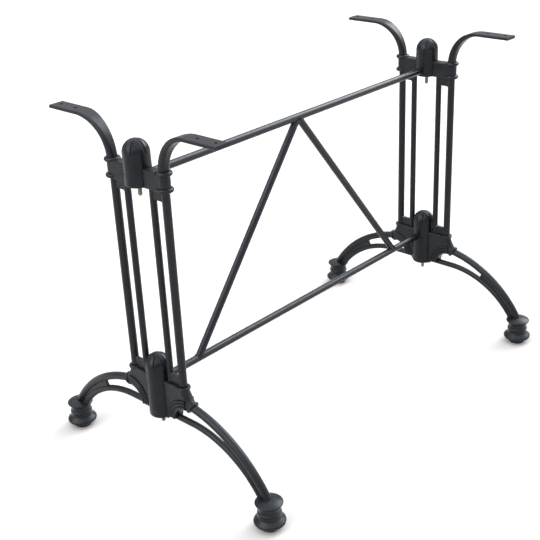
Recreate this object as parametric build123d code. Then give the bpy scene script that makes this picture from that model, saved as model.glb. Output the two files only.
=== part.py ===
"""Cast table base: two end frames, each a pair of leg castings clasped by slotted hubs, joined by a tube truss.

Millimetres, +Z up, X along the stretcher, origin on the floor midway between the ends.
One casting is drawn standing in the YZ plane with its outward side towards +Y, then set at the four places.
"""
import os
from math import cos, pi, radians, sin

from build123d import *

# Whole base
HEIGHT = 720.0
HUB_SPACING = 880.0
FOOT_SPACING = 544.0
ARM_SPAN = 426.0

# Leg casting: bars and blocks
OUTER_Y = 67.3
INNER_Y = 33.6
OUTER_R = 7.8
INNER_R = 6.4
BLOCK_T = 21.0
BLOCK_EDGE_R = 2.5
ARM_RISE = 77.0
UPPER_BLOCK_TOP = HEIGHT - ARM_RISE
UPPER_BLOCK_H = 35.0
LOWER_BLOCK_TOP = 221.0
LOWER_BLOCK_H = 81.0
COLLAR_R = 10.8
COLLAR_BEAD_R = 4.0
ELBOW_BEAD_R = 3.4
WEB_T = 8.0
WEB_H = 18.5
WEB_CORNER_R = 5.0
WEB_CORNER_SUNK = 2.0
BAR_SUNK = 4.0

# Leg casting: arm and screw plate
ARM_ROOT_W = 20.0
ARM_ROOT_T = 16.5
PLATE_W = 33.0
PLATE_T = 6.5
PLATE_EDGE_R = 2.4
PLATE_BEND_Y = 140.0
SCREW_HOLE_R = 3.0
SCREW_TO_TIP = 14.5
SCREW_PITCH = 42.0

# Leg casting: arched leg and foot
RIB_HIGH_R = 8.0
RIB_LOW_R = 6.4
RIB_LOW_DROP = 74.5
RIB_LOW_START_Y = 20.0
RIB_LOW_STRAIGHT_Y = 84.0
RIB_LOW_IN = 18.0
RIB_END_DROP = 7.0
ROOT_Y = 87.0
ROOT_DROP = 38.0
ROOT_FALL = 9.3
ARCH_R = 31.0
ARCH_Y = 78.0
RIDGES = ((4.0, 3.2, 1.0), (11.2, 2.7, 2.0), (17.6, 2.4, 2.6))
RIDGE_SUNK = 1.0
FOOT_R = 30.5
RIM_Z = 15.8
RIM_R = 5.0
NECK_R = 21.0
FLANGE_R = 26.5
FLANGE_H = 8.0
FOOT_H = 62.0
GLIDE_R = 18.0
GLIDE_H = 8.0
GLIDE_EDGE_R = 1.8
GLIDE_PEG_R = 5.0
GLIDE_PEG_H = 12.0

# Hubs
HUB_R = 25.4
DOME_R = 24.8
HUB_WALL = 4.4
UPPER_HUB_BODY_H = 59.2
LOWER_HUB_BODY_H = 106.4
HUB_BELOW_BLOCK = 1.0
HUB_EDGE_R = 3.0
SLOT_HALF = 11.0
FLUTES = 6
FLUTE_CUTS = ((6.0, 1.1), (1.8, 2.6))
FLUTE_PATH_R = 1.55 * DOME_R
FLUTE_RISE = radians(38)
KEY_HALF = 16.0
KEY_IN = 7.0
KEY_OUT = 11.5
KEY_LAP = 0.5
KEY_LIFT = 12.0

# Hub studs, nuts and clamp washers
STUD_R = 4.0
STUD_OUT_UPPER = 21.0
STUD_OUT_LOWER = 20.0
STUD_SEAT = 10.0
STUD_BOSS_R = 8.0
STUD_BOSS_H = 14.0
NUT_AF = 13.0
NUT_H = 6.5
WASHER_R = 18.5
WASHER_T = 3.0
WASHER_ROOM = 1.0

# Stretcher
TUBE_R = 7.5
TUBE_WALL = 1.5
RAIL_GAP = 33.0
TOP_RAIL_DROP = 97.8
LOW_RAIL_DROP = 9.4
BRACE_APEX_X = -16.0
BRACE_LEFT_X = -337.0
BRACE_RIGHT_X = 312.0
RAIL_STUD_R = 4.0
RAIL_STUD_IN = 19.0
RAIL_STUD_L = 32.0
RAIL_NUT_AF = 13.0
RAIL_NUT_H = 5.0
PLUG_L = 25.0
BOSS_R = 6.5
BOSS_FACE = 26.6

foot_y = FOOT_SPACING / 2
hub_x = HUB_SPACING / 2
arm_y = ARM_SPAN / 2
upper_block_bottom = UPPER_BLOCK_TOP - UPPER_BLOCK_H
lower_block_bottom = LOWER_BLOCK_TOP - LOWER_BLOCK_H
upper_hub_bottom = upper_block_bottom
lower_hub_bottom = lower_block_bottom - HUB_BELOW_BLOCK
key_seat = WASHER_R + WASHER_ROOM
rib_low_z = LOWER_BLOCK_TOP - RIB_LOW_DROP
root_z = LOWER_BLOCK_TOP - ROOT_DROP
top_rail_z = HEIGHT - TOP_RAIL_DROP
low_rail_z = LOWER_BLOCK_TOP - LOW_RAIL_DROP


def bar(path, radius):
    """A round bar of one radius along a path."""
    section = Plane(origin=path @ 0, z_dir=path % 0) * Circle(radius)
    return sweep(section, path=path)


def in_plane(y, z):
    """A point of the casting's middle plane."""
    return (0, y, z)


def standing_box(x_half, y0, y1, z0, z1):
    """A box from its limits, even about the casting's middle plane."""
    return Pos(0, (y0 + y1) / 2, (z0 + z1) / 2) * Box(2 * x_half, y1 - y0, z1 - z0)


def foot():
    """Turned spool foot: round lower flange, beaded neck, thin upper flange and the glide's peg hole."""
    slope = RIM_R * sin(pi / 4)
    rim_y = FOOT_R - RIM_R
    bead_z = (RIM_Z + FOOT_H) / 2 - 3
    under = FOOT_H - FLANGE_H
    outline = Polyline((0, GLIDE_H), (GLIDE_R + 1.5, GLIDE_H), (rim_y + slope * 0.8, RIM_Z - RIM_R * 0.82))
    outline += ThreePointArc(outline @ 1, (FOOT_R, RIM_Z), (rim_y + slope, RIM_Z + slope))
    outline += Line(outline @ 1, (NECK_R + 1.6, RIM_Z + 9.2))
    outline += ThreePointArc(outline @ 1, (NECK_R + 0.5, RIM_Z + 11.5), (NECK_R + 0.4, bead_z - 2.5))
    outline += ThreePointArc(outline @ 1, (NECK_R + 1.8, bead_z), (NECK_R + 0.4, bead_z + 2.5))
    outline += ThreePointArc(outline @ 1, (NECK_R - 0.2, (bead_z + under) / 2), (NECK_R + 0.8, under - 4))
    outline += Line(outline @ 1, (FLANGE_R - 0.6, under))
    outline += ThreePointArc(outline @ 1, (FLANGE_R, under + 1.6), (FLANGE_R - 0.8, under + 3.2))
    outline += ThreePointArc(outline @ 1, (FLANGE_R * 0.6, FOOT_H - 1), (0, FOOT_H + 0.5))
    outline += Line(outline @ 1, (0, GLIDE_H))
    spool = revolve(Plane.XZ * make_face(outline), Axis.Z)
    peg_hole = Pos(0, 0, GLIDE_H + GLIDE_PEG_H / 2) * Cylinder(GLIDE_PEG_R, GLIDE_PEG_H)
    return Pos(0, foot_y, 0) * (spool - peg_hole)


def leg_ribs():
    """The two arched ribs from the lower block to the foot, and the web beyond the slot between them."""
    end_z = FOOT_H - RIB_END_DROP
    fall = in_plane(cos(radians(ROOT_FALL)), -sin(radians(ROOT_FALL)))
    upper_path = TangentArc(in_plane(ROOT_Y, root_z), in_plane(foot_y, end_z), tangent=fall)
    straight = Line(in_plane(RIB_LOW_START_Y, rib_low_z), in_plane(RIB_LOW_STRAIGHT_Y, rib_low_z))
    bend = TangentArc(straight @ 1, in_plane(foot_y - RIB_LOW_IN, end_z), tangent=straight % 1)
    upper = bar(upper_path, RIB_HIGH_R)
    lower = bar(straight, RIB_LOW_R) + bar(bend, RIB_LOW_R)
    steps = 9
    rim = [upper_path @ (0.39 + 0.60 * i / steps) for i in range(steps + 1)]
    rim += [bend @ (0.99 - 0.59 * i / steps) for i in range(steps + 1)]
    web = extrude(make_face(Polyline(*rim, close=True)), WEB_T * 0.4, dir=(1, 0, 0), both=True)
    return upper + lower + web


def eased(block, bottom, top):
    """A block with the long edges along its bottom and top rounded."""
    section = Plane.XZ * Pos(0, (bottom + top) / 2) * RectangleRounded(BLOCK_T, top - bottom, BLOCK_EDGE_R)
    return block & extrude(section, 2 * OUTER_Y, both=True)


def lower_block():
    """Block at the leg's root: cheeks over the slot's round end, the upper rib's elbow, ridges and beads."""
    arch_foot = ARCH_Y - ARCH_R
    crown = rib_low_z + ARCH_R
    key_z = lower_hub_bottom + KEY_LIFT
    inner = KEY_OUT - KEY_LAP
    cheeks = Polyline((arch_foot, rib_low_z), (HUB_R + 1, rib_low_z), (HUB_R + 1, lower_block_bottom),
                      (key_seat, lower_block_bottom), (key_seat, key_z), (inner, key_z),
                      (inner, LOWER_BLOCK_TOP), (OUTER_Y, LOWER_BLOCK_TOP), (ROOT_Y, root_z),
                      (ROOT_Y, root_z - RIB_LOW_R), (ARCH_Y, crown))
    cheeks += CenterArc((ARCH_Y, rib_low_z), ARCH_R, 90, 90)
    block = extrude(Plane.YZ * make_face(cheeks), BLOCK_T / 2, both=True)
    block = eased(block, lower_block_bottom - BLOCK_T, LOWER_BLOCK_TOP)
    elbow_path = TangentArc(in_plane(OUTER_Y, LOWER_BLOCK_TOP - 2), in_plane(ROOT_Y, root_z),
                            tangent=in_plane(0, -1))
    block += bar(elbow_path, COLLAR_R)
    block += Pos(0, OUTER_Y, LOWER_BLOCK_TOP - 1.5) * Torus(COLLAR_R - 0.8, ELBOW_BEAD_R)
    block += Plane(origin=elbow_path @ 1, z_dir=elbow_path % 1) * Torus(COLLAR_R - 0.4, ELBOW_BEAD_R)
    for out, radius, lean in RIDGES:
        ridge = Rot(lean, 0, 0) * Rot(0, 0, 90) * Torus(ARCH_R + out, radius, major_angle=90, align=None)
        near = Plane.YZ * Pos(ARCH_Y, rib_low_z, BLOCK_T / 2 - RIDGE_SUNK) * ridge
        block += near
        block += mirror(near, Plane.YZ)
    return block + key(key_z, LOWER_BLOCK_TOP - 3)


def upper_block():
    """Block at the arm's root: flat cheeks, a collar round the outer upright and its two bead rings."""
    bottom = upper_block_bottom
    top = UPPER_BLOCK_TOP
    key_z = upper_hub_bottom + KEY_LIFT
    inner = KEY_OUT - KEY_LAP
    cheeks = Polyline((key_seat, bottom), (key_seat, key_z), (inner, key_z), (inner, top), (OUTER_Y, top),
                      (OUTER_Y, bottom), close=True)
    block = extrude(Plane.YZ * make_face(cheeks), BLOCK_T / 2, both=True)
    block = eased(block, bottom, top)
    block += Pos(0, OUTER_Y, (bottom + top) / 2 + 1) * Cylinder(COLLAR_R, UPPER_BLOCK_H + 2)
    for z in (top - 0.8, bottom + COLLAR_BEAD_R + 0.4):
        block += Pos(0, OUTER_Y, z) * Torus(COLLAR_R + 0.6, COLLAR_BEAD_R)
    return block + key(key_z, top - 2)


def key(bottom, top):
    """The cross-headed key at a block's inner end that a hub's slot slides over."""
    return standing_box(KEY_HALF, KEY_IN, KEY_OUT, bottom, top)


def uprights():
    """The two parallel uprights, and the web between them that leaves one long round-cornered slot."""
    low = LOWER_BLOCK_TOP - BAR_SUNK
    high = upper_block_bottom + BAR_SUNK
    mid = (low + high) / 2
    pair = Pos(0, OUTER_Y, mid) * Cylinder(OUTER_R, high - low)
    pair += Pos(0, INNER_Y, mid) * Cylinder(INNER_R, high - low)
    slot_in = INNER_Y + INNER_R - WEB_CORNER_SUNK
    slot_out = OUTER_Y - OUTER_R + WEB_CORNER_SUNK
    slot_low = LOWER_BLOCK_TOP + WEB_H
    slot_high = upper_block_bottom - WEB_H
    slot = RectangleRounded(slot_out - slot_in, slot_high - slot_low, WEB_CORNER_R)
    slot = Plane.YZ * Pos((slot_in + slot_out) / 2, (slot_low + slot_high) / 2) * slot
    web = standing_box(WEB_T / 2, INNER_Y, OUTER_Y, low, high) - extrude(slot, WEB_T, both=True)
    return pair + web


def arm_section(turn, widen, thin, corner):
    """A rounded section of the arm, a share of the turn up from the collar, from root to plate size."""
    angle = turn * pi / 2
    start = UPPER_BLOCK_TOP - 1
    rise = HEIGHT - PLATE_T / 2 - start
    run = PLATE_BEND_Y - OUTER_Y
    place = in_plane(PLATE_BEND_Y - run * cos(angle), start + rise * sin(angle))
    along = in_plane(run * sin(angle), rise * cos(angle))
    width = ARM_ROOT_W + widen * (PLATE_W - ARM_ROOT_W)
    thick = ARM_ROOT_T + thin * (PLATE_T - ARM_ROOT_T)
    return Plane(origin=place, x_dir=(1, 0, 0), z_dir=along) * RectangleRounded(width, thick, corner)


def arm():
    """The arm: a near-round root that sweeps outward and flattens to a screw plate with two holes."""
    bend = loft([arm_section(0.00, 0.00, 0.00, 7.6),
                 arm_section(0.22, 0.04, 0.13, 6.6),
                 arm_section(0.48, 0.23, 0.43, 4.6),
                 arm_section(0.75, 0.58, 0.75, 2.6),
                 arm_section(1.00, 0.99, 1.02, PLATE_EDGE_R)])
    plate = extrude(arm_section(1.00, 1.00, 1.00, PLATE_EDGE_R), arm_y - PLATE_BEND_Y, dir=(0, 1, 0))
    for y in (arm_y - SCREW_TO_TIP, arm_y - SCREW_TO_TIP - SCREW_PITCH):
        plate -= Pos(0, y, HEIGHT) * Cylinder(SCREW_HOLE_R, 6 * PLATE_T)
    return bend + plate


def leg_casting():
    """One leg casting, foot to screw plate."""
    return foot() + leg_ribs() + lower_block() + uprights() + upper_block() + arm()


def hub(bottom, body_h, slot_top, rail_z):
    """Slotted bullet cap: a fluted dome with a stud boss under it, and a rail boss on its inner side (+X)."""
    shoulder = bottom + body_h
    outline = Line((0, bottom), (HUB_R - HUB_EDGE_R, bottom))
    outline += CenterArc((HUB_R - HUB_EDGE_R, bottom + HUB_EDGE_R), HUB_EDGE_R, -90, 90)
    outline += Line((HUB_R, bottom + HUB_EDGE_R), (DOME_R, shoulder))
    outline += CenterArc((0, shoulder), DOME_R, 0, 90)
    outline += Line((0, shoulder + DOME_R), (0, bottom))
    shell = revolve(Plane.XZ * make_face(outline), Axis.Z)
    for i in range(FLUTES):
        for radius, depth in FLUTE_CUTS:
            shell -= Pos(0, 0, shoulder) * Rot(0, 0, 360 * (i + 0.5) / FLUTES) * flute(radius, depth)
    bore_r = HUB_R - HUB_WALL
    bore = Pos(0, 0, (bottom + shoulder) / 2) * Cylinder(bore_r, body_h)
    bore += Pos(0, 0, shoulder) * Sphere(DOME_R - HUB_WALL)
    shell -= bore
    boss_top = shoulder + DOME_R - HUB_WALL / 2
    boss_low = shoulder - STUD_BOSS_H
    shell += Pos(0, 0, (boss_top + boss_low) / 2) * Cylinder(STUD_BOSS_R, boss_top - boss_low)
    shell -= standing_box(SLOT_HALF, -2 * HUB_R, 2 * HUB_R, bottom - 1, slot_top)
    shell += along_x(RAIL_STUD_IN, BOSS_FACE, rail_z, BOSS_R)
    shell -= along_x(0, BOSS_FACE + 1, rail_z, RAIL_STUD_R)
    seat_h = STUD_BOSS_H + STUD_SEAT
    shell -= Pos(0, 0, boss_low + seat_h / 2) * Cylinder(STUD_R, seat_h)
    return shell


def flute(radius, depth):
    """Cutter for a groove down a dome about the origin, deepest half-way up and faded out at both ends."""
    away = FLUTE_PATH_R - DOME_R - radius + depth
    arc = Torus(FLUTE_PATH_R, radius, major_angle=90, align=None)
    return Pos(-away * cos(FLUTE_RISE), 0, -away * sin(FLUTE_RISE)) * Rot(90, 0, 0) * arc


def hub_stud(bottom, body_h, stick_out):
    """Threaded stud from the dome's boss down past the clamp nut, with a rounded lower end."""
    top = bottom + body_h + STUD_SEAT
    low = bottom - stick_out
    stud = Pos(0, 0, (top + low) / 2) * Cylinder(STUD_R, top - low)
    return fillet(stud.edges().group_by(Axis.Z)[0], STUD_R * 0.6)


def hex_nut(across_flats, height, hole_r):
    """Plain hexagon nut with its lower face at the origin."""
    blank = RegularPolygon(across_flats / 2, 6, major_radius=False) - Circle(hole_r)
    return extrude(blank, height)


def clamp_washer(bottom):
    """Thick washer that bears up on the two keys inside a hub."""
    ring = Circle(WASHER_R) - Circle(STUD_R + 0.2)
    return Pos(0, 0, bottom + KEY_LIFT - WASHER_T) * extrude(ring, WASHER_T)


def hub_nut(bottom):
    """Nut under a clamp washer."""
    return Pos(0, 0, bottom + KEY_LIFT - WASHER_T - NUT_H) * hex_nut(NUT_AF, NUT_H, STUD_R)


def along_x(x0, x1, z, radius):
    """A solid round bar along X from its limits."""
    return Pos((x0 + x1) / 2, 0, z) * Rot(0, 90, 0) * Cylinder(radius, x1 - x0)


def rail(z):
    """Straight tube of the stretcher, open at its ends for the plugs."""
    end = hub_x - RAIL_GAP
    return along_x(-end, end, z, TUBE_R) - along_x(-end, end, z, TUBE_R - TUBE_WALL)


def brace(side, foot_x):
    """Sloping tube, its ends coped to the two rails and its top mitred against the other brace."""
    top = Vector(BRACE_APEX_X, 0, top_rail_z)
    low = Vector(foot_x, 0, low_rail_z)
    path = Line(top, low)
    tube = bar(path, TUBE_R) - bar(path, TUBE_R - TUBE_WALL)
    for z in (top_rail_z, low_rail_z):
        tube -= along_x(-hub_x, hub_x, z, TUBE_R)
    block = 10 * TUBE_R
    beyond = Pos(BRACE_APEX_X - side * block / 2, 0, top_rail_z) * Box(block, block, block)
    return tube - beyond


def rail_plug(z):
    """Turned plug in a rail's end, bored for the stud, drawn for the right end of a hub at the origin."""
    plug = along_x(RAIL_GAP, RAIL_GAP + PLUG_L, z, TUBE_R - TUBE_WALL)
    return plug - along_x(RAIL_GAP - 1, RAIL_STUD_IN + RAIL_STUD_L + 1, z, RAIL_STUD_R)


def rail_stud(z):
    """Stud from a hub's boss into a rail's plug."""
    return along_x(RAIL_STUD_IN, RAIL_STUD_IN + RAIL_STUD_L, z, RAIL_STUD_R)


def rail_nut(z):
    """Lock nut on a rail stud, tight against the hub's boss."""
    return Pos(BOSS_FACE, 0, z) * Rot(0, 90, 0) * hex_nut(RAIL_NUT_AF, RAIL_NUT_H, RAIL_STUD_R)


def glide():
    """Plastic glide under a foot, with a peg pressed into the casting."""
    pad = Pos(0, 0, GLIDE_H / 2) * Cylinder(GLIDE_R, GLIDE_H)
    pad = fillet(pad.edges().group_by(Axis.Z)[0], GLIDE_EDGE_R)
    return pad + Pos(0, 0, GLIDE_H + GLIDE_PEG_H / 2) * Cylinder(GLIDE_PEG_R, GLIDE_PEG_H)


def save(name, *solids):
    """Writes one node; a node of several like pieces is a group of separate solids."""
    shape = solids[0] if len(solids) == 1 else Compound(children=list(solids))
    shape.label = name
    export_step(shape, f"parts/{name}.step")


os.makedirs("parts", exist_ok=True)

ENDS = {"left": (Pos(-hub_x, 0, 0), Rot(0, 0, 0)), "right": (Pos(hub_x, 0, 0), Rot(0, 0, 180))}
SIDES = {"back": 1, "front": -1}

casting = leg_casting()
pad = glide()
for end, (place, turn) in ENDS.items():
    for side, sign in SIDES.items():
        spin = Rot(0, 0, 0) if sign > 0 else Rot(0, 0, 180)
        save(f"leg_casting_{end}_{side}", place * spin * casting)
        save(f"foot_glide_{end}_{side}", place * Pos(0, sign * foot_y, 0) * pad)

LEVELS = {"upper": (upper_hub_bottom, UPPER_HUB_BODY_H, UPPER_BLOCK_TOP, top_rail_z, STUD_OUT_UPPER),
          "lower": (lower_hub_bottom, LOWER_HUB_BODY_H, LOWER_BLOCK_TOP, low_rail_z, STUD_OUT_LOWER)}
washers, nuts, plugs, rail_studs, rail_nuts = [], [], [], [], []
for level, (bottom, body_h, slot_top, rail_z, stick_out) in LEVELS.items():
    cap = hub(bottom, body_h, slot_top, rail_z)
    stud = hub_stud(bottom, body_h, stick_out)
    for end, (place, turn) in ENDS.items():
        save(f"{level}_hub_{end}", place * turn * cap)
        save(f"{level}_hub_stud_{end}", place * stud)
        washers.append(place * clamp_washer(bottom))
        nuts.append(place * hub_nut(bottom))
        plugs.append(place * turn * rail_plug(rail_z))
        rail_studs.append(place * turn * rail_stud(rail_z))
        rail_nuts.append(place * turn * rail_nut(rail_z))
save("hub_clamp_washers", *washers)
save("hub_nuts", *nuts)
save("rail_end_plugs", *plugs)
save("rail_end_studs", *rail_studs)
save("rail_lock_nuts", *rail_nuts)

save("top_rail", rail(top_rail_z))
save("bottom_rail", rail(low_rail_z))
save("brace_left", brace(-1, BRACE_LEFT_X))
save("brace_right", brace(1, BRACE_RIGHT_X))
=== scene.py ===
import math

import bpy
from mathutils import Matrix, Vector


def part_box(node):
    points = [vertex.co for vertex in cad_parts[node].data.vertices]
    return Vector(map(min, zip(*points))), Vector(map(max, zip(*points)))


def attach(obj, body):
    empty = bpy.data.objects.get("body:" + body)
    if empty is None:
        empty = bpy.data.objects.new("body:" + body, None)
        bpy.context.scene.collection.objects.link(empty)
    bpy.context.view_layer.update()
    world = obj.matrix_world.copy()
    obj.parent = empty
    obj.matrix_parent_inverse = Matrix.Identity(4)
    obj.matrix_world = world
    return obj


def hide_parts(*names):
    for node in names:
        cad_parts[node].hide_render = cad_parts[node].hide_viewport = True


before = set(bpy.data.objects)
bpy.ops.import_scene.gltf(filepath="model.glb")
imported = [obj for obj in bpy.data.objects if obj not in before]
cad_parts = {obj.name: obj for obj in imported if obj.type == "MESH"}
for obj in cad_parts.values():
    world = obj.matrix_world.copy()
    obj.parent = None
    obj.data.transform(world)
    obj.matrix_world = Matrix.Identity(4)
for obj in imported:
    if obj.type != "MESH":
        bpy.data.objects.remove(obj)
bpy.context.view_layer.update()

# Leg castings: the grey-iron legs, two at each end, foot to screw plate in one sand casting each.
# They are shot-blasted and powder coated a satin charcoal, which softens the sand's grain but does not
# hide it, and their hub keys are held in the hubs' slots.
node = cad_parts
ENDS = ("left", "right")
SIDES = ("front", "back")
CHARCOAL_DARK = (0.0036, 0.0040, 0.0048, 1)
CHARCOAL_LIGHT = (0.0068, 0.0075, 0.0088, 1)
GLOSS_TINT = (0.86, 0.93, 1.0, 1)
COAT_IOR = 1.5
BLOTCH_M = 0.018
BLOTCH_STOPS = (0.36, 0.68)
SHEEN_M = 0.006
SHEEN_STOPS = (0.3, 0.7)
SMOOTHER = 0.06
ROUGHER = 0.08
GRAIN_STRENGTH = 0.55
PEEL_M = 0.0011
PEEL_DEPTH_M = 0.00012
PEEL_STRENGTH = 0.3
NOISE_ROUGHNESS = 0.55


def new_finish(name):
    """A new material, with its nodes, the call that links them and its shader."""
    finish = bpy.data.materials.new(name)
    finish.use_nodes = True
    nodes = finish.node_tree.nodes
    return finish, nodes, finish.node_tree.links.new, nodes["Principled BSDF"]


def two_tone(ramp, stops, colours):
    """Sets the places and colours of a colour ramp's two ends."""
    for end, stop, colour in zip(ramp.elements, stops, colours):
        end.position = stop
        end.color = colour


def powder_coat(name, grain_m, grain_depth_m, roughness, gloss, dark=CHARCOAL_DARK, light=CHARCOAL_LIGHT):
    """Satin powder coat over a surface whose own grain is grain_m wide and grain_depth_m deep."""
    coat, nodes, link, shader = new_finish(name)
    shader.inputs["IOR"].default_value = COAT_IOR
    shader.inputs["Specular IOR Level"].default_value = gloss
    shader.inputs["Specular Tint"].default_value = GLOSS_TINT
    place = nodes.new("ShaderNodeTexCoord").outputs["Object"]

    def noise(size_m, detail):
        texture = nodes.new("ShaderNodeTexNoise")
        texture.inputs["Scale"].default_value = 1 / size_m
        texture.inputs["Detail"].default_value = detail
        texture.inputs["Roughness"].default_value = NOISE_ROUGHNESS
        link(place, texture.inputs["Vector"])
        return texture.outputs["Fac"]

    blotch = nodes.new("ShaderNodeValToRGB")
    two_tone(blotch.color_ramp, BLOTCH_STOPS, (dark, light))
    link(noise(BLOTCH_M, 5), blotch.inputs["Fac"])
    link(blotch.outputs["Color"], shader.inputs["Base Color"])

    sheen = nodes.new("ShaderNodeMapRange")
    sheen.inputs["From Min"].default_value = SHEEN_STOPS[0]
    sheen.inputs["From Max"].default_value = SHEEN_STOPS[1]
    sheen.inputs["To Min"].default_value = roughness - SMOOTHER
    sheen.inputs["To Max"].default_value = roughness + ROUGHER
    link(noise(SHEEN_M, 3), sheen.inputs["Value"])
    link(sheen.outputs["Result"], shader.inputs["Roughness"])

    grain = nodes.new("ShaderNodeBump")
    grain.inputs["Strength"].default_value = GRAIN_STRENGTH
    grain.inputs["Distance"].default_value = grain_depth_m
    link(noise(grain_m, 4), grain.inputs["Height"])
    peel = nodes.new("ShaderNodeBump")
    peel.inputs["Strength"].default_value = PEEL_STRENGTH
    peel.inputs["Distance"].default_value = PEEL_DEPTH_M
    link(noise(PEEL_M, 2), peel.inputs["Height"])
    link(grain.outputs["Normal"], peel.inputs["Normal"])
    link(peel.outputs["Normal"], shader.inputs["Normal"])
    return coat


def dress(name, material):
    """Gives a frame node its finish, in every slot."""
    mesh = node[name].data
    mesh.materials.clear()
    mesh.materials.append(material)


casting_coat = powder_coat("casting_coat", grain_m=0.0035, grain_depth_m=0.0005, roughness=0.32, gloss=0.26)
for end in ENDS:
    for side in SIDES:
        dress(f"leg_casting_{end}_{side}", casting_coat)

# Hubs: slotted cast caps with fluted domes that drop over the leg castings' keys.
# They come from the same foundry and the same coating line as the legs, with a little finer sand.
LEVELS = ("upper", "lower")
hub_coat = powder_coat("hub_coat", grain_m=0.003, grain_depth_m=0.0003, roughness=0.26, gloss=0.22)
for level in LEVELS:
    for end in ENDS:
        dress(f"{level}_hub_{end}", hub_coat)

# Clamp washers and nuts: turned and pressed steel inside the hubs' open undersides, on the hub studs.
# They are fitted after the coating and have a dull zinc plate, a little cloudy.
CLOUDS_PER_M = 260
CLOUD_STOPS = (0.35, 0.7)
ZINC_ROUGHNESS = (0.3, 0.55)


def zinc_plate(name, dark, light):
    """Dull zinc plate, a little cloudy."""
    plate, nodes, link, shader = new_finish(name)
    shader.inputs["Metallic"].default_value = 1
    cloud = nodes.new("ShaderNodeTexNoise")
    cloud.inputs["Scale"].default_value = CLOUDS_PER_M
    cloud.inputs["Detail"].default_value = 4
    link(nodes.new("ShaderNodeTexCoord").outputs["Object"], cloud.inputs["Vector"])
    tint = nodes.new("ShaderNodeValToRGB")
    two_tone(tint.color_ramp, CLOUD_STOPS, (dark, light))
    link(cloud.outputs["Fac"], tint.inputs["Fac"])
    link(tint.outputs["Color"], shader.inputs["Base Color"])
    dull = nodes.new("ShaderNodeMapRange")
    dull.inputs["To Min"].default_value = ZINC_ROUGHNESS[0]
    dull.inputs["To Max"].default_value = ZINC_ROUGHNESS[1]
    link(cloud.outputs["Fac"], dull.inputs["Value"])
    link(dull.outputs["Result"], shader.inputs["Roughness"])
    return plate


stud_zinc = zinc_plate("stud_zinc", dark=(0.19, 0.18, 0.16, 1), light=(0.46, 0.44, 0.39, 1))
dress("hub_clamp_washers", stud_zinc)
dress("hub_nuts", stud_zinc)

# Hub studs: lengths of M8 threaded bar screwed up into the boss under each dome, out below the hub.
# They are plain steel with the same dull zinc plate, and the cut lower end is dressed to a short cone.
PITCH = 0.00125
CREST_R = 0.004
ROOT_R = 0.0033
SUNK_R = ROOT_R * 0.97
FLANK = 0.4 * PITCH
CREST_FLAT = 0.14 * PITCH
ROOT_FLAT = 0.06 * PITCH
THREAD_TURNS = 26
THREAD_SIDES = 24
END_CONE = 0.0011
THREAD_START = END_CONE * 0.6
MERGE_GAP = PITCH * 0.01


def bar(sides, radius, depth, middle=0):
    """A straight bar along z, to start a turned piece or a hexagon from."""
    bpy.ops.object.select_all(action="DESELECT")
    bpy.ops.mesh.primitive_cylinder_add(vertices=sides, radius=radius, depth=depth, location=(0, 0, middle))
    return bpy.context.object


def pick_faces(piece, test):
    """Selects, for the edit-mode operators, the faces that pass a test."""
    bpy.ops.object.mode_set(mode="EDIT")
    bpy.ops.mesh.select_mode(type="FACE")
    bpy.ops.mesh.select_all(action="DESELECT")
    bpy.ops.object.mode_set(mode="OBJECT")
    for face in piece.data.polygons:
        face.select = test(face)
    bpy.ops.object.mode_set(mode="EDIT")


def fit(piece, material):
    """Gives a finished piece its finish and its place on the base."""
    piece.data.materials.append(material)
    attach(piece, "root")


def wound_thread():
    """The thread's outer skin, wound up the z axis from its profile and closed at both ends."""
    bpy.ops.object.select_all(action="DESELECT")
    bpy.ops.mesh.primitive_plane_add(size=PITCH)
    thread = bpy.context.object
    bpy.ops.object.mode_set(mode="EDIT")
    bpy.ops.mesh.select_mode(type="VERT")
    bpy.ops.mesh.select_all(action="SELECT")
    bpy.ops.mesh.merge(type="CENTER")
    bpy.ops.transform.translate(value=(SUNK_R, 0, THREAD_START))
    rise = CREST_R - SUNK_R
    for step in ((rise, 0, FLANK), (0, 0, CREST_FLAT), (-rise, 0, FLANK), (0, 0, ROOT_FLAT)):
        bpy.ops.mesh.extrude_vertices_move(TRANSFORM_OT_translate={"value": step})
    bpy.ops.object.mode_set(mode="OBJECT")
    bpy.ops.object.modifier_add(type="SCREW")
    winding = thread.modifiers["Screw"]
    winding.screw_offset = PITCH
    winding.iterations = THREAD_TURNS
    winding.steps = THREAD_SIDES
    winding.render_steps = THREAD_SIDES
    winding.use_merge_vertices = True
    winding.merge_threshold = MERGE_GAP
    bpy.ops.object.modifier_apply(modifier="Screw")
    bpy.ops.object.mode_set(mode="EDIT")
    bpy.ops.mesh.select_all(action="SELECT")
    bpy.ops.mesh.remove_doubles(threshold=MERGE_GAP)
    bpy.ops.mesh.fill_holes(sides=0)
    # The operator takes the wound strip's outer side for its inner one, so this turns it outwards.
    bpy.ops.mesh.normals_make_consistent(inside=True)
    bpy.ops.object.mode_set(mode="OBJECT")
    return thread


def threaded_stud(name, stands_for):
    """A stud in the place of its plain one: a core with a coned lower end, and the thread wound round it."""
    low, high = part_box(stands_for)
    height = high.z - low.z
    core = bar(THREAD_SIDES, ROOT_R, height, middle=height / 2)
    bpy.ops.object.transform_apply(location=True)
    pick_faces(core, lambda face: face.normal.z < -0.9)
    bpy.ops.mesh.bevel(offset=END_CONE, segments=2, affect="EDGES")
    bpy.ops.object.mode_set(mode="OBJECT")
    thread = wound_thread()

    bpy.ops.object.select_all(action="DESELECT")
    thread.select_set(True)
    core.select_set(True)
    bpy.context.view_layer.objects.active = core
    bpy.ops.object.join()
    core.name = name
    core.location = ((low.x + high.x) / 2, (low.y + high.y) / 2, low.z)
    bpy.ops.object.transform_apply(location=True)
    bpy.ops.object.shade_smooth_by_angle(angle=math.radians(30))
    fit(core, stud_zinc)
    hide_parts(stands_for)


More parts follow.
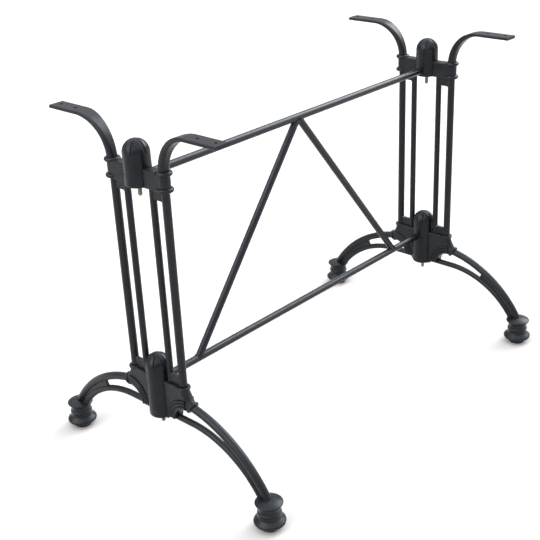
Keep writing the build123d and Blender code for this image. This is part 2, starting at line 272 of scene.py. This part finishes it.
for level in LEVELS:
    for end in ENDS:
        threaded_stud(f"{level}_threaded_stud_{end}", f"{level}_hub_stud_{end}")

# Rails and braces: drawn round steel tube, cut, coped and welded into one stretcher.
# The tube is smooth under the coat, so its highlights run in clean lines along it.
tube_coat = powder_coat("tube_coat", grain_m=0.006, grain_depth_m=0.0001, roughness=0.28, gloss=0.34)
for name in ("top_rail", "bottom_rail", "brace_left", "brace_right"):
    dress(name, tube_coat)

# Weld beads: the run of weld round each brace's end, coated with the tubes.
# Each is a ring laid along the line where the brace's end meets the rail, and at the top the other brace.
TUBE_R = 0.0075
BRACE_APEX_X = -0.016
BRACE_FOOT_X = {"left": -0.337, "right": 0.312}
WELD_R = 0.0016
RIPPLES = 34
RIPPLE_DEPTH = 0.16
STEPS_PER_RIPPLE = 4
BEAD_SIDES = 10


def rail_middle(name):
    """Height of a rail's axis."""
    low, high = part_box(name)
    return (low.z + high.z) / 2


def weld_bead(name, joint, along, mitred):
    """A rippled bead round a brace that leaves a rail's axis at a joint, in the direction along."""
    bpy.ops.object.select_all(action="DESELECT")
    bpy.ops.mesh.primitive_torus_add(major_segments=RIPPLES * STEPS_PER_RIPPLE, minor_segments=BEAD_SIDES,
                                     major_radius=TUBE_R, minor_radius=WELD_R)
    bead = bpy.context.object
    bead.name = name
    across = Vector((0, 1, 0))
    out = across.cross(along)
    upward = math.copysign(1, along.z)
    for vertex in bead.data.vertices:
        turn = math.atan2(vertex.co.y, vertex.co.x)
        ripple = 1 + RIPPLE_DEPTH * math.sin(RIPPLES * turn)
        lift = (math.hypot(vertex.co.x, vertex.co.y) - TUBE_R) * ripple
        reach = TUBE_R * (upward * abs(math.cos(turn)) - out.z * math.cos(turn)) / along.z
        if mitred:
            reach = max(reach, -TUBE_R * out.x * math.cos(turn) / along.x)
        sideways = out * math.cos(turn) + across * math.sin(turn)
        vertex.co = joint + along * (reach + vertex.co.z * ripple) + sideways * (TUBE_R + lift)
    bpy.ops.object.shade_smooth()
    fit(bead, tube_coat)


top = Vector((BRACE_APEX_X, 0, rail_middle("top_rail")))
for end, foot_x in BRACE_FOOT_X.items():
    foot = Vector((foot_x, 0, rail_middle("bottom_rail")))
    slope = (foot - top).normalized()
    weld_bead(f"weld_bead_top_{end}", top, slope, mitred=True)
    weld_bead(f"weld_bead_bottom_{end}", foot, -slope, mitred=False)

# Rail plugs and studs: turned plugs pressed in the rails' ends, with a stud screwed through to the hub.
# They are zinc-plated steel, set a darker tone than the hub studs' plate, and only a ring of stud shows
# between the nut and the rail.
rail_zinc = zinc_plate("rail_zinc", dark=(0.05, 0.048, 0.042, 1), light=(0.12, 0.115, 0.1, 1))
dress("rail_end_plugs", rail_zinc)
dress("rail_end_studs", rail_zinc)

# Rail lock nuts: hexagon nuts on the rail studs, tight against the hubs' bosses.
# They are coated with the rails, and both faces are chamfered to a round.
NUT_FLATS = 0.013
NUT_H = 0.005
NUT_CHAMFER = 0.0011
NUT_HOLE_R = 0.004
NUT_ROUND_SIDES = 48
nut_low, nut_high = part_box("rail_lock_nuts")
corner_r = NUT_FLATS / math.sqrt(3)
turned = bar(NUT_ROUND_SIDES, corner_r, NUT_H)
pick_faces(turned, lambda face: abs(face.normal.z) > 0.9)
bpy.ops.mesh.bevel(offset=NUT_CHAMFER, segments=1, affect="EDGES")
bpy.ops.object.mode_set(mode="OBJECT")
nut = bar(6, corner_r, 2 * NUT_H)
hole = bar(NUT_ROUND_SIDES, NUT_HOLE_R, 3 * NUT_H)
bpy.ops.object.select_all(action="DESELECT")
nut.select_set(True)
bpy.context.view_layer.objects.active = nut
for tool, operation in ((turned, "INTERSECT"), (hole, "DIFFERENCE")):
    bpy.ops.object.modifier_add(type="BOOLEAN")
    nut.modifiers["Boolean"].operation = operation
    nut.modifiers["Boolean"].object = tool
    bpy.ops.object.modifier_apply(modifier="Boolean")
    bpy.data.objects.remove(tool)
bpy.ops.object.mode_set(mode="EDIT")
bpy.ops.mesh.select_all(action="SELECT")
bpy.ops.transform.rotate(value=math.radians(30), orient_axis="Z", center_override=(0, 0, 0))
bpy.ops.transform.rotate(value=math.radians(90), orient_axis="Y", center_override=(0, 0, 0))
bpy.ops.object.mode_set(mode="OBJECT")
bpy.ops.object.shade_smooth_by_angle(angle=math.radians(25))
for rail in ("top", "bottom"):
    for end, face_x, inward in (("left", nut_low.x, 1), ("right", nut_high.x, -1)):
        lock = nut.copy()
        lock.data = nut.data.copy()
        lock.name = f"{rail}_rail_lock_nut_{end}"
        bpy.context.collection.objects.link(lock)
        lock.data.transform(Matrix.Translation((face_x + inward * NUT_H / 2, 0, rail_middle(f"{rail}_rail"))))
        fit(lock, tube_coat)
        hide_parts("rail_lock_nuts")
bpy.data.objects.remove(nut)

# Foot glides: black moulded plastic discs with a peg pressed up into each foot.
# They keep the iron off the floor.
glide_black = powder_coat("glide_black", grain_m=0.002, grain_depth_m=0.0001, roughness=0.6, gloss=0.2,
                          dark=(0.008, 0.008, 0.009, 1), light=(0.013, 0.013, 0.014, 1))
for end in ENDS:
    for side in SIDES:
        dress(f"foot_glide_{end}_{side}", glide_black)

# Studio floor: a pale matt floor that runs on out of the picture, so the base stands clear of any wall.
# It is there for the contact shadows under the feet, and is no part of the base.
FLOOR_SIZE = 60
FLOOR_PALE = (0.49, 0.475, 0.455, 1)
bpy.ops.object.select_all(action="DESELECT")
bpy.ops.mesh.primitive_plane_add(size=FLOOR_SIZE, location=(0, 0, 0))
floor = bpy.context.object
floor.name = "studio_floor"
floor_pale, _, _, floor_shader = new_finish("floor_pale")
floor_shader.inputs["Base Color"].default_value = FLOOR_PALE
floor_shader.inputs["Roughness"].default_value = 1
floor_shader.inputs["Specular IOR Level"].default_value = 0
floor.data.materials.append(floor_pale)

# Studio light: soft cool light from a bright ceiling that falls off towards the walls, from two soft panels
# high beyond the ends, and from a paler wall low on the right. A panel is its azimuth, elevation and half
# angle in degrees, and its strength. A plain pale backdrop hides all of that from view.
CEILING = (2.24, 2.3, 2.44, 1)
WALLS = (0.53, 0.545, 0.58, 1)
WALLS_TO_CEILING = (0.2, 0.9)
PANELS = ((-8, 37, 17, 8.5), (165, 31, 25, 3.4), (-52, 3, 30, 1.2))
PANEL_EDGE = 10
BACKDROP = (0.97, 0.97, 0.97, 1)
studio = bpy.data.worlds.new("studio_ceiling")
bpy.context.scene.world = studio
studio.use_nodes = True
studio_nodes = studio.node_tree.nodes
studio_link = studio.node_tree.links.new
outlook = studio_nodes.new("ShaderNodeTexCoord").outputs["Generated"]
steepness = studio_nodes.new("ShaderNodeSeparateXYZ")
studio_link(outlook, steepness.inputs["Vector"])
fade = studio_nodes.new("ShaderNodeValToRGB")
fade.color_ramp.interpolation = "EASE"
two_tone(fade.color_ramp, WALLS_TO_CEILING, (WALLS, CEILING))
studio_link(steepness.outputs["Z"], fade.inputs["Fac"])
glow = fade.outputs["Color"]
for azimuth, elevation, half_angle, strength in PANELS:
    around = math.radians(azimuth)
    above = math.radians(elevation)
    near = studio_nodes.new("ShaderNodeVectorMath")
    near.operation = "DOT_PRODUCT"
    near.inputs[1].default_value = (math.cos(above) * math.cos(around), math.cos(above) * math.sin(around),
                                    math.sin(above))
    studio_link(outlook, near.inputs[0])
    panel = studio_nodes.new("ShaderNodeMapRange")
    panel.interpolation_type = "SMOOTHSTEP"
    panel.inputs["From Min"].default_value = math.cos(math.radians(half_angle + PANEL_EDGE))
    panel.inputs["From Max"].default_value = math.cos(math.radians(half_angle - PANEL_EDGE))
    panel.inputs["To Max"].default_value = strength
    studio_link(near.outputs["Value"], panel.inputs["Value"])
    both = studio_nodes.new("ShaderNodeVectorMath")
    both.operation = "ADD"
    studio_link(glow, both.inputs[0])
    studio_link(panel.outputs["Result"], both.inputs[1])
    glow = both.outputs["Vector"]
studio_link(glow, studio_nodes["Background"].inputs["Color"])
backdrop = studio_nodes.new("ShaderNodeBackground")
backdrop.inputs["Color"].default_value = BACKDROP
seen = studio_nodes.new("ShaderNodeMixShader")
studio_link(studio_nodes.new("ShaderNodeLightPath").outputs["Is Camera Ray"], seen.inputs["Fac"])
studio_link(studio_nodes["Background"].outputs["Background"], seen.inputs[1])
studio_link(backdrop.outputs["Background"], seen.inputs[2])
studio_link(seen.outputs["Shader"], studio_nodes["World Output"].inputs["Surface"])

# Camera: at the photograph's viewing angle, a long lens a little above the base, tilted slightly.
# Its angles, distance and lens were fitted to the base's outline in the photograph.
AZIMUTH = math.radians(-46.7245)
ELEVATION = math.radians(25.1743)
ROLL = math.radians(-2.7728)
DISTANCE = 2.20165
AIM = Vector((-0.06696, 0.04878, 0.28713))
FOCAL_PX = 1026.505
PICTURE_PX = 540
SENSOR_MM = 36

back = Vector((math.sin(AZIMUTH) * math.cos(ELEVATION), -math.cos(AZIMUTH) * math.cos(ELEVATION),
               math.sin(ELEVATION)))
level_right = Vector((math.cos(AZIMUTH), math.sin(AZIMUTH), 0))
level_up = back.cross(level_right)
right = level_right * math.cos(ROLL) + level_up * math.sin(ROLL)
up = back.cross(right)
lens = bpy.data.cameras.new("camera")
lens.lens = FOCAL_PX / PICTURE_PX * SENSOR_MM
lens.sensor_width = SENSOR_MM
camera = bpy.data.objects.new("camera", lens)
bpy.context.collection.objects.link(camera)
facing = Matrix((right, up, back)).transposed()
camera.matrix_world = Matrix.Translation(AIM + back * DISTANCE) @ facing.to_4x4()
bpy.context.scene.camera = camera
bpy.context.scene.view_settings.view_transform = "Standard"
